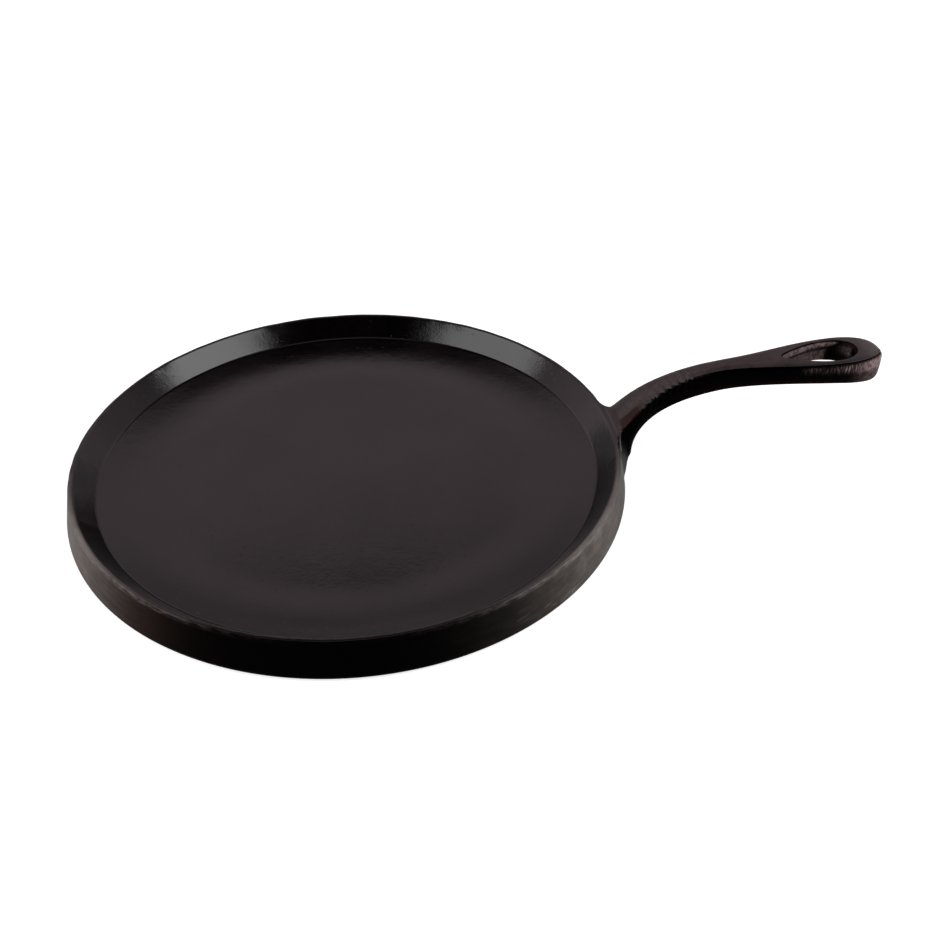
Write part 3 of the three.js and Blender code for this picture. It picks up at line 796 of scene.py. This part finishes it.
def ease_seam(mesh):
    """Rounds the corner where the root meets the dish. Vertices within a reach of the seam move towards the
    mean of their neighbours, p + w (mean - p), with w falling from 1 at the seam to 0 at the reach."""
    points = positions(mesh)
    seam = points[seam_points(mesh)]
    near_root = np.nonzero(points[:, 0] > seam[:, 0].min() - SEAM_REACH)[0]
    gaps = np.full(len(points), np.inf)
    for chunk in np.array_split(near_root, 40):
        gaps[chunk] = np.linalg.norm(points[chunk, None] - seam[None], axis=-1).min(axis=1)
    weight = faded(gaps, SEAM_CORE * SEAM_REACH, SEAM_REACH)
    pairs = np.empty(len(mesh.edges) * 2, np.int32)
    mesh.edges.foreach_get("vertices", pairs)
    pairs = pairs.reshape(-1, 2)
    pairs = pairs[weight[pairs].max(axis=1) > 0]
    ends, starts = np.concatenate([pairs, pairs[:, ::-1]]).T
    count = np.bincount(ends, minlength=len(points))[:, None].clip(1)
    for _ in range(SEAM_ROUNDS):
        total = np.stack([np.bincount(ends, points[starts, k], len(points)) for k in range(3)], axis=-1)
        points += np.where(weight > 0, weight, 0)[:, None] * (total / count - points)
    mesh.vertices.foreach_set("co", points.astype(np.float32).ravel())
    mesh.update()


def from_top_edge(dish, handle, x, y):
    """How far a place lies inside the edge of the handle's top, in metres. The edge follows the handle's
    outline and the flare at its root, a little further in, and bulges at each rib."""
    _, _, half, _ = handle_station(dish, handle, np.clip(x, dish.rim_radius, None))
    closeness = np.clip(1 - (x - dish.rim_radius) / LIP_FLARE_REACH, 0, 1)
    ribs = rib_lift(handle, x + y * RIB_SKEW - dish.rim_radius) / handle.rib_height
    return half + LIP_FLARE * closeness**2 + RIB_BULGE * ribs - TOP_EDGE_INSET - np.abs(y)


def survey(mesh, dish, handle):
    """Where each vertex lies: its place, how far it looks up, its turn round the dish in degrees, its reach
    from the lip, its height above the section's middle as a share of the thickness, half the handle's width
    there, and its place along the eye from -1 to 1. Also how far it belongs to the handle, to the eye's wall
    and to the handle's sides, from 0 to 1."""
    x, y, z = positions(mesh).T
    normals = np.empty(len(x) * 3, np.float32)
    mesh.vertex_normals.foreach_get("vector", normals)
    looks_up = normals.reshape(-1, 3)[:, 2]
    rim = dish.rim_radius
    on_handle = eased(np.hypot(x, y) - skirt_radius(dish, z), *HANDLE_START) * (x > 0)
    middle, _, half, thickness = handle_station(dish, handle, np.clip(x, rim, rim + handle.reach - MM))
    along_eye = (x - eye_middle(dish, handle)) / (handle.eye_length / 2)
    fullness = 1 + EYE_FULLNESS * np.clip(along_eye, -1, 1)
    eye_wall = faded(np.hypot(along_eye, y / (handle.eye_width / 2 * fullness)), *EYE_WALL_EDGE)
    return SimpleNamespace(
        x=x,
        y=y,
        z=z,
        looks_up=looks_up,
        degrees=np.degrees(np.arctan2(y, x)),
        from_lip=x - rim,
        height=(z - middle[:, 1]) / np.maximum(thickness, MM),
        half=half,
        along_eye=along_eye,
        on_handle=on_handle,
        eye_wall=eye_wall,
        flank=on_handle * faded(looks_up, *STEEP) * (1 - eye_wall),
    )


def rim_masks(dish, at):
    """The rim's share of each mask. Radius and height pick out the lip and the skirt, and the turn round the
    dish picks out the stretches that are worn, ground, rubbed or browned. The rubbed stretches lie on the
    skirt's lit ends, so they are also a painted highlight."""
    radius = np.hypot(at.x, at.y)
    off_handle = 1 - at.on_handle
    near_top = faded(dish.rim_height - at.z, *LIP_DEPTH)
    lip = bump_at(radius, dish.rim_radius, LIP_WIDTH) * near_top * off_handle
    outside = faded(dish.rim_radius - radius, *SKIRT_EDGE)
    skirt = eased(at.z, *SKIRT_FOOT) * outside * off_handle
    return {
        "lip": lip,
        "worn": lip * bells(at.degrees, WORN_LIP),
        "ground": skirt * bells(at.degrees, GROUND_SKIRT),
        "scraped": skirt * bells(at.degrees, SCRAPED_SKIRT),
        # Rubbed bare iron on the skirt's lit ends, also a painted highlight.
        "rubbed": skirt * bells(at.degrees, RUBBED_AND_LIT_SKIRT) * eased(-at.degrees, *CLEAR_OF_ROOT),
        "brown": skirt * bells(at.degrees, BROWNED_SKIRT),
    }


def handle_masks(dish, handle, at):
    """The handle's share of each mask. Painted light, a pale rosy tint, lies on the tip's lit side, on the
    eye's far wall where it faces up, with a painted shadow under its ridge, on a painted highlight at the
    eye's end and a little on the neck, and painted glints run along the grip's edge. A brown patch lies on
    the root, and painted warm reflection low on the sides and low in the eye. Painted shade darkens the edges
    of the top and the crease at the root. The top of the tip is rubbed, and the neck's foot takes painted
    light."""
    from_lip, height, y = at.from_lip, at.height, at.y
    from_tip = handle.reach - from_lip

    # Painted light on the tip's lit side, stronger on its upper half.
    tip_side = at.flank * faded(from_tip, *TIP_SIDE)
    tip_side = tip_side * (LEFT_ON_TIP + (1 - LEFT_ON_TIP) * eased(height, *UPPER_HALF))
    # Painted glints: a broken highlight along the edge of the grip.
    first_glints, last_glints = (eased(from_lip, *reach) for reach in GLINT_REACHES)
    edge_marks = at.flank * (FIRST_GLINTS * first_glints + last_glints) * bump_at(height, *GLINT_BAND)

    # Painted light on the eye's far wall where it faces up, and lower down painted warm reflection.
    lit_end = LIT_WALL_END - LIT_WALL_LEAN * np.clip(height - LEAN_START, 0, LEAN_MOST)
    far_wall = at.eye_wall * eased(y, *FAR_HALF) * eased(from_tip, lit_end - MM, lit_end + MM)
    far_wall = far_wall * faded(height, *WALL_TOP)
    lit_wall = far_wall * (LEFT_ON_WALL + (1 - LEFT_ON_WALL) * eased(height, *WALL_RIDGE))
    # Painted shadow under the eye's ridge.
    clear_of_ridge = 1 - bump_at(height - RIDGE_RISE * at.along_eye, *RIDGE_SHADE)
    # A painted highlight on the eye's end wall.
    end_spot = at.eye_wall * bump_at(from_lip, *END_SPOT) * bump_at(height, *END_SPOT_HEIGHT)
    end_spot = end_spot * eased(y, *END_SPOT_SIDE)

    # A little painted light on the near side of the neck's top.
    neck_top = at.on_handle * eased(at.looks_up, *NECK_UP)
    neck_top = neck_top * faded(from_lip, *NECK_TOP) * eased(-y, *NECK_SIDE)
    root_patch = at.on_handle * eased(at.looks_up, *ROOT_UP) * eased(-y, *ROOT_PATCH_SIDE)
    root_patch = root_patch * eased(from_lip, *ROOT_PATCH_START) * faded(from_lip, *ROOT_PATCH_END)
    # Painted shade in the crease at the root.
    crease = bump_at(from_lip, *CREASE) * faded(np.abs(y + MM), *CREASE_SIDE) * (at.z > dish.rim_height)

    # Painted warm reflection low on the sides.
    low_side = at.flank * faded(height, *LOW_HEIGHT) * eased(from_lip, *LOW_SIDE)
    # Painted light low on the neck's foot, where it faces the floor.
    neck_foot = at.flank * faded(height, *FOOT_LIGHT) * bump_at(from_lip, *NECK_FOOT)
    tip_top = at.on_handle * eased(at.looks_up, *LEVEL) * faded(from_tip, *TIP_TOP)
    # Painted shade along the top's edges, where they round away from the light.
    near_edge = at.on_handle * eased(np.abs(y) / at.half, *EDGE_SHARE) * eased(from_lip, *EDGE_SHADE_REACH)
    # The pale rosy tint here is all painted light.
    thin = WALL_LIGHT * lit_wall * clear_of_ridge + END_SPOT_LIGHT * end_spot
    thin = thin + TIP_LIGHT * tip_side + NECK_LIGHT * neck_top
    return {
        # Painted light, kept off the root's brown patch.
        "thin": thin * (1 - root_patch),
        # A brown patch on the root, and painted warm reflection low on the sides and low on the eye's far
        # wall.
        "brown": root_patch + LOW_SIDE_REFLECTION * low_side + LOW_WALL_REFLECTION * far_wall * faded(height, *LOW_WALL),
        # Painted shade along the top's edges and in the root's crease.
        "dull_edge": near_edge + CREASE_SHADE * crease,
        # Painted glints along the grip's edge.
        "edge_marks": edge_marks,
        # Painted light at the neck's foot, and rubbing on the tip's top.
        "rubbed": NECK_FOOT_LIGHT * neck_foot + RUBBED_TIP * tip_top,
    }


def add_masks(mesh, dish, handle):
    """Writes where the finish differs and where light, shade and reflection are painted, as numbers from 0 to
    1 on the vertices, and each vertex's place on the skirt unrolled: (turn times radius, height, 0)."""
    at = survey(mesh, dish, handle)
    on_rim, on_handle = rim_masks(dish, at), handle_masks(dish, handle, at)
    for name in MASKS:
        values = np.clip(on_rim.get(name, 0) + on_handle.get(name, 0), 0, 1)
        attribute = mesh.attributes.new(name, "FLOAT", "POINT")
        attribute.data.foreach_set("value", values.astype(np.float32))
    unrolled = np.stack([np.radians(at.degrees) * dish.rim_radius, at.z, 0 * at.z], axis=-1)
    attribute = mesh.attributes.new("unrolled", "FLOAT_VECTOR", "POINT")
    attribute.data.foreach_set("vector", unrolled.astype(np.float32).ravel())


def assign_finishes(mesh, dish, handle):
    """Gives each face its finish: satin inside the dish and on the lip; ground on the skirt and wherever it
    looks down, and the same near-black copy as painted shade on the handle's sides and in the eye; a lighter,
    rosier copy as painted light on top of the handle; and a darker copy on one stretch of the inside wall. On
    the neck the top ends at its edge line, and on the grip where it turns steep."""
    count = len(mesh.polygons)
    centres, normals = np.empty(count * 3, np.float32), np.empty(count * 3, np.float32)
    mesh.polygons.foreach_get("center", centres)
    mesh.polygons.foreach_get("normal", normals)
    x, y, z = centres.reshape(-1, 3).T
    nx, ny, nz = normals.reshape(-1, 3).T
    radius, degrees = np.hypot(x, y), np.degrees(np.arctan2(y, x))
    outwards = (nx * x + ny * y) / np.maximum(radius, MM)
    on_dish = radius < skirt_radius(dish, z) + HANDLE_START[0]
    skirt = on_dish & (outwards > SIDEWAYS) & (radius > dish.rim_radius - INSIDE_LIP)
    past_edge = (nz < NECK_STEEP) | (from_top_edge(dish, handle, x, y) < 0)
    side = ~on_dish & np.where(x - dish.rim_radius < RIBS_CLEAR, past_edge, nz < GRIP_STEEP)
    wall = on_dish & (outwards < -SIDEWAYS) & (nz > WALL_STEEP)
    # The handle's sides, underside and eye take the near-black copy as painted shade, its top the lighter
    # copy as painted light.
    kinds = np.where(skirt | side | (nz < UNDER_STEEP), GROUND_AND_SHADED, np.where(on_dish, SATIN, LIT_TOP))
    # A darker, weakly glossy copy on one stretch of the inside wall.
    kinds = np.where(wall & (degrees > DARK_WALL_TURNS[0]) & (degrees < DARK_WALL_TURNS[1]), DARK_WALL, kinds)
    mesh.polygons.foreach_set("material_index", kinds.astype(np.int32))
    mesh.polygons.foreach_set("use_smooth", np.ones(count, bool))
    mesh.update()


def add_node(tree, kind, values=None, links=None, output=0, **settings):
    """Adds a node, sets its options and its sockets' values, and links sockets to earlier nodes' outputs.
    Gives back one of its own outputs, if it has any."""
    node = tree.nodes.new(kind)
    for name, value in settings.items():
        setattr(node, name, value)
    for socket, value in (values or {}).items():
        node.inputs[socket].default_value = value
    for socket, source in (links or {}).items():
        tree.links.new(source, node.inputs[socket])
    return node.outputs[output] if len(node.outputs) else None


def span(low, high, bottom, top):
    """The values of a Map Range node that brings low to bottom and high to top."""
    return {"From Min": low, "From Max": high, "To Min": bottom, "To Max": top}


def new_material(name):
    """An empty node material."""
    material = bpy.data.materials.new(name)
    material.use_nodes = True
    material.node_tree.nodes.clear()
    return material, material.node_tree


def iron_amounts(add):
    """The noises, the masks, and each amount of wear and of painted light, shade and reflection: a mask times
    smooth steps of its noises.
    """
    parts = {
        "object": add("ShaderNodeTexCoord", output="Object"),
        "unrolled": add("ShaderNodeAttribute", output="Vector", attribute_name="unrolled"),
    }
    for name, (follows, size, detail, rough, stretch, turn) in IRON_NOISES.items():
        values = {"Scale": stretch, "Rotation": (0, 0, np.radians(turn))}
        mapped = add("ShaderNodeMapping", values, {"Vector": parts[follows]}, vector_type="TEXTURE")
        values = {"Scale": 1 / size, "Detail": detail, "Roughness": rough}
        parts[name] = add("ShaderNodeTexNoise", values, {"Vector": mapped})
    for name, (noise, *limits) in IRON_STEPS.items():
        links = {"Value": parts[noise]}
        parts[name] = add("ShaderNodeMapRange", span(*limits), links, interpolation_type="SMOOTHSTEP")
    for name in MASKS:
        parts[name] = add("ShaderNodeAttribute", output="Fac", attribute_name=name)
    for name, (first, *others) in IRON_AMOUNTS.items():
        parts[name] = parts[first]
        for other in others:
            links = {0: parts[name], 1: parts[other]}
            parts[name] = add("ShaderNodeMath", links=links, operation="MULTIPLY")
    return parts


def iron_colour(add, parts, finish, coat, bare):
    """The coat, clouded with a darker tone of itself, and then laid over it in turn: painted shade at the
    handle's edges, a brown coat with painted warm reflection, painted light and glints in a pale rosy tint,
    rubbing with a painted highlight, and bare iron.
    """
    # Painted light and painted glints share the pale rosy tint.
    thin = add("ShaderNodeMath", links={0: parts["painted_light_amount"], 1: parts["glinted"]}, operation="MAXIMUM")
    darker = [CLOUD_SHADE * channel for channel in coat]
    values, links = {6: (*darker, 1), 7: (*coat, 1)}, {"Factor": parts["clouded"]}
    base = add("ShaderNodeMix", values, links, output=2, data_type="RGBA")
    layers = [
        (parts["dulled"], finish.skirt_seasoning),
        (parts["browned_and_reflected"], finish.brown_coat_and_reflection),
        (thin, finish.painted_light_tint),
        (parts["wiped_off_and_lit"], finish.bare_iron_and_highlight),
        (bare, finish.bare_iron_and_highlight),
    ]
    for amount, over in layers:
        base = add("ShaderNodeMix", {7: (*over, 1)}, {"Factor": amount, 6: base}, output=2, data_type="RGBA")
    return base


def iron_bump(add, parts, grain_strength, waviness):
    """The mould's grain and slow swell with a few pits, and over it the grinder's upright streaks."""
    links = {0: parts["swell"], 2: parts["grain"]}
    height = add("ShaderNodeMath", {1: waviness}, links, operation="MULTIPLY_ADD")
    links = {"Vector": parts["object"]}
    cell = add("ShaderNodeTexVoronoi", {"Scale": 1 / PIT_SPACING}, links, output="Distance")
    pit = add("ShaderNodeMapRange", span(*PIT_EDGE, 1, 0), {"Value": cell}, interpolation_type="SMOOTHSTEP")
    pitted = add("ShaderNodeMath", links={0: height, 1: pit}, operation="SUBTRACT")
    values = {"Strength": grain_strength, "Distance": GRAIN_DEPTH}
    cast_bump = add("ShaderNodeBump", values, {"Height": pitted})
    links = {"Value": parts["ground"]}
    strength = add("ShaderNodeMapRange", span(0, 1, *STREAK_STRENGTH), links, interpolation_type="SMOOTHSTEP")
    links = {"Height": parts["streaks"], "Strength": strength, "Normal": cast_bump}
    return add("ShaderNodeBump", {"Distance": GRAIN_DEPTH}, links)


# Its colour also carries painted light, shade and reflection from the masks.
def seasoned_iron(name, finish, coat, gloss, roughness, grain_strength, waviness):
    """Grey cast iron under baked-on oil. The coat is a brown-black satin film, so most of its brightness is
    gloss from the lamps. The sand mould's grain shows through it, with a few pits, and it is worn to grey
    metal along the lip and in the scratches of the grinder that dressed the skirt."""
    material, tree = new_material(name)
    add = partial(add_node, tree)
    parts = iron_amounts(add)
    bare = add("ShaderNodeMath", links={0: parts["chipped"], 1: parts["scratched"]}, operation="MAXIMUM")
    limits = span(*CLOUD_STEP, roughness - ROUGHNESS_DRIFT, roughness + ROUGHNESS_DRIFT)
    rough = add("ShaderNodeMapRange", limits, {"Value": parts["cloud"]}, interpolation_type="SMOOTHSTEP")
    for amount, rougher in (("lip", LIP_ROUGHER), ("browned_and_reflected", BROWN_ROUGHER)):
        rough = add("ShaderNodeMath", {1: rougher}, {0: parts[amount], 2: rough}, operation="MULTIPLY_ADD")
    links = {
        "Base Color": iron_colour(add, parts, finish, coat, bare),
        "Metallic": add("ShaderNodeMath", links={0: bare, 1: parts["metal_grain"]}, operation="MULTIPLY"),
        "Roughness": rough,
        "Normal": iron_bump(add, parts, grain_strength, waviness),
    }
    shader = add("ShaderNodeBsdfPrincipled", {"Specular IOR Level": gloss}, links)
    add("ShaderNodeOutputMaterial", links={"Surface": shader})
    return material


def pale_floor(paper_colour):
    """Matt studio paper. It glows a little to the camera, in reflections and through glass, and less far out,
    so that it stays white under a plain light, and it still takes the object's shadow."""
    material, tree = new_material("matt_studio_paper")
    add = partial(add_node, tree)
    rays = add("ShaderNodeLightPath").node.outputs
    seen = rays["Is Camera Ray"]
    for ray in ("Is Glossy Ray", "Is Transmission Ray"):
        seen = add("ShaderNodeMath", links={0: seen, 1: rays[ray]}, operation="MAXIMUM")
    place = add("ShaderNodeTexCoord", output="Object")
    away = add("ShaderNodeVectorMath", links={0: place}, output="Value", operation="LENGTH")
    glow_level = add("ShaderNodeMapRange", span(*FLOOR_GLOW_REACH, *FLOOR_GLOW), {"Value": away})
    strength = add("ShaderNodeMath", links={0: seen, 1: glow_level}, operation="MULTIPLY")
    paper = add("ShaderNodeBsdfDiffuse", {"Color": (*paper_colour, 1)})
    glow = add("ShaderNodeEmission", {"Color": (1, 1, 1, 1)}, {"Strength": strength})
    both = add("ShaderNodeAddShader", links={0: paper, 1: glow})
    add("ShaderNodeOutputMaterial", links={"Surface": both})
    return material


def direction(azimuth, elevation):
    """The unit vector towards an azimuth from +X and an elevation, both in degrees."""
    a, e = np.radians(azimuth), np.radians(elevation)
    return Vector((np.cos(e) * np.cos(a), np.cos(e) * np.sin(a), np.sin(e)))


def softbox(name, azimuth, elevation, distance, width, height, brightness):
    """A lit panel that faces the pan. Its power is pi times its area times its brightness."""
    lamp = bpy.data.lights.new(name, "AREA")
    lamp.shape, lamp.size, lamp.size_y = "RECTANGLE", width, height
    lamp.energy = np.pi * width * height * brightness
    panel = bpy.data.objects.new(name, lamp)
    towards = direction(azimuth, elevation)
    facing = towards.to_track_quat("Z", "Y").to_matrix().to_4x4()
    panel.matrix_world = Matrix.Translation(towards * distance) @ facing
    bpy.context.scene.collection.objects.link(panel)
    return panel


def studio_room(back_light):
    """The world: a dark room with a lit screen behind the pan and soft glows around and above it. The screen
    is half as bright below its lower edge and ends at its upper edge. Each glow is a smooth step on the
    cosine of how far a direction lies from its middle, full within its core and gone at its reach."""
    world = bpy.data.worlds.new("studio_room")
    world.use_nodes = True
    tree = world.node_tree
    tree.nodes.clear()
    add = partial(add_node, tree)
    view = add("ShaderNodeTexCoord", output="Generated")
    upwards = add("ShaderNodeSeparateXYZ", links={0: view}, output="Z")

    glows = []
    for azimuth, elevation, core, reach, brightness in [(*SCREEN, back_light), *GLOWS]:
        towards = {1: direction(azimuth, elevation)}
        near = add("ShaderNodeVectorMath", towards, {0: view}, output="Value", operation="DOT_PRODUCT")
        limits = span(*np.cos(np.radians([reach, core])), 0, brightness)
        glows.append(add("ShaderNodeMapRange", limits, {"Value": near}, interpolation_type="SMOOTHSTEP"))
    level, *others = glows
    for edge, below, above in SCREEN_EDGES:
        limits = span(*np.sin(np.radians(edge)), below, above)
        share = add("ShaderNodeMapRange", limits, {"Value": upwards}, interpolation_type="SMOOTHSTEP")
        level = add("ShaderNodeMath", links={0: level, 1: share}, operation="MULTIPLY")
    for glow in others:
        level = add("ShaderNodeMath", links={0: level, 1: glow}, operation="ADD")
    level = add("ShaderNodeMath", {1: DARK_ROOM}, {0: level}, operation="ADD")
    room = add("ShaderNodeBackground", {"Color": (*linear(ROOM_TINT), 1)}, {"Strength": level})
    add("ShaderNodeOutputWorld", links={"Surface": room})
    bpy.context.scene.world = world


class MESH_OT_frying_pan_casting(bpy.types.Operator):
    """Build the pan's casting and its finish"""

    bl_idname = "mesh.frying_pan_casting"
    bl_label = "Pan Casting"

    def execute(self, context):
        dish, handle = context.scene.frying_pan_dish, context.scene.frying_pan_handle
        finish = context.scene.frying_pan_finish
        pan = mesh_object("seasoned_pan", dish_rings(dish), SATIN)
        arm = mesh_object("handle", handle_rings(dish, handle), GROUND_AND_SHADED)
        eye = mesh_object("eye", eye_rings(dish, handle), GROUND_AND_SHADED)
        for name, (coat, *surface) in IRON_FINISHES.items():
            material = seasoned_iron(name, finish, getattr(finish, coat), *surface)
            for piece in (pan, arm, eye):
                piece.data.materials.append(material)
        combined(pan, arm, "UNION")
        tidied(pan.data, SLIVER)
        ease_seam(pan.data)
        combined(pan, eye, "DIFFERENCE")
        tidied(pan.data, SLIVER)
        add_masks(pan.data, dish, handle)
        assign_finishes(pan.data, dish, handle)
        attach(pan, "root")
        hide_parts("pan_casting")
        return {"FINISHED"}


class MESH_OT_frying_pan_stage(bpy.types.Operator):
    """Build the pale floor, the lamps, the room and the camera"""

    bl_idname = "mesh.frying_pan_stage"
    bl_label = "Studio Stage"

    def execute(self, context):
        studio = context.scene.frying_pan_studio
        bend_arc = arc((FLOOR_RADIUS, FLOOR_BEND), FLOOR_BEND, -90, 0, 16)
        wall_top = (FLOOR_RADIUS + FLOOR_BEND, FLOOR_BEND + FLOOR_WALL)
        inside = np.concatenate([[(FLOOR_MIDDLE, 0)], bend_arc, [wall_top]])
        outside = inside + np.array([FLOOR_THICKNESS, -FLOOR_THICKNESS])
        profile = np.concatenate([outside, inside[::-1]])
        profile[:, 1] -= UNDER_PAN
        turns = np.linspace(0, 2 * np.pi, 97)[:-1]
        floor = mesh_object("studio_floor", revolve(profile, turns), 0)
        floor.data.polygons.foreach_set("use_smooth", np.ones(len(floor.data.polygons), bool))
        floor.data.materials.append(pale_floor(tuple(studio.floor)))

        softbox("right_softbox", *RIGHT_PANEL, studio.right_lamp)
        softbox("left_softbox", *LEFT_PANEL, studio.left_lamp)
        studio_room(studio.back_light)

        camera = bpy.data.objects.new("camera", bpy.data.cameras.new("camera"))
        camera.data.lens, camera.data.sensor_width = studio.lens, SENSOR_WIDTH
        camera.location = studio.eye_place
        camera.rotation_euler = (np.pi / 2 - studio.eye_tilt, 0, -studio.eye_turn)
        context.scene.collection.objects.link(camera)
        context.scene.camera = camera
        context.scene.view_settings.view_transform = "Standard"
        return {"FINISHED"}


class VIEW3D_PT_frying_pan(bpy.types.Panel):
    """Lists the pan's sizes, finishes and steps"""

    bl_idname = "VIEW3D_PT_frying_pan"
    bl_label = "Frying Pan"
    bl_space_type = "VIEW_3D"
    bl_region_type = "UI"
    bl_category = "Frying Pan"

    def draw(self, context):
        for name, _ in SETTINGS:
            box = self.layout.box()
            group = getattr(context.scene, name)
            for key in group.__annotations__:
                box.prop(group, key)
        for operator in OPERATORS:
            self.layout.operator(operator.bl_idname)


SETTINGS = [
    ("frying_pan_dish", PanDishSettings),
    ("frying_pan_handle", PanHandleSettings),
    ("frying_pan_finish", PanFinishSettings),
    ("frying_pan_studio", PanStudioSettings),
]
OPERATORS = [MESH_OT_frying_pan_casting, MESH_OT_frying_pan_stage]


def register():
    """Makes the settings, the operators and the panel known."""
    for name, group in SETTINGS:
        bpy.utils.register_class(group)
        setattr(bpy.types.Scene, name, PointerProperty(type=group))
    for cls in [*OPERATORS, VIEW3D_PT_frying_pan]:
        bpy.utils.register_class(cls)


def unregister():
    """Takes them away again."""
    for cls in [VIEW3D_PT_frying_pan, *reversed(OPERATORS)]:
        bpy.utils.unregister_class(cls)
    for name, group in reversed(SETTINGS):
        delattr(bpy.types.Scene, name)
        bpy.utils.unregister_class(group)


def main():
    """Builds the pan and its stage."""
    register()
    bpy.ops.mesh.frying_pan_casting()
    bpy.ops.mesh.frying_pan_stage()


if __name__ == "__main__":
    main()
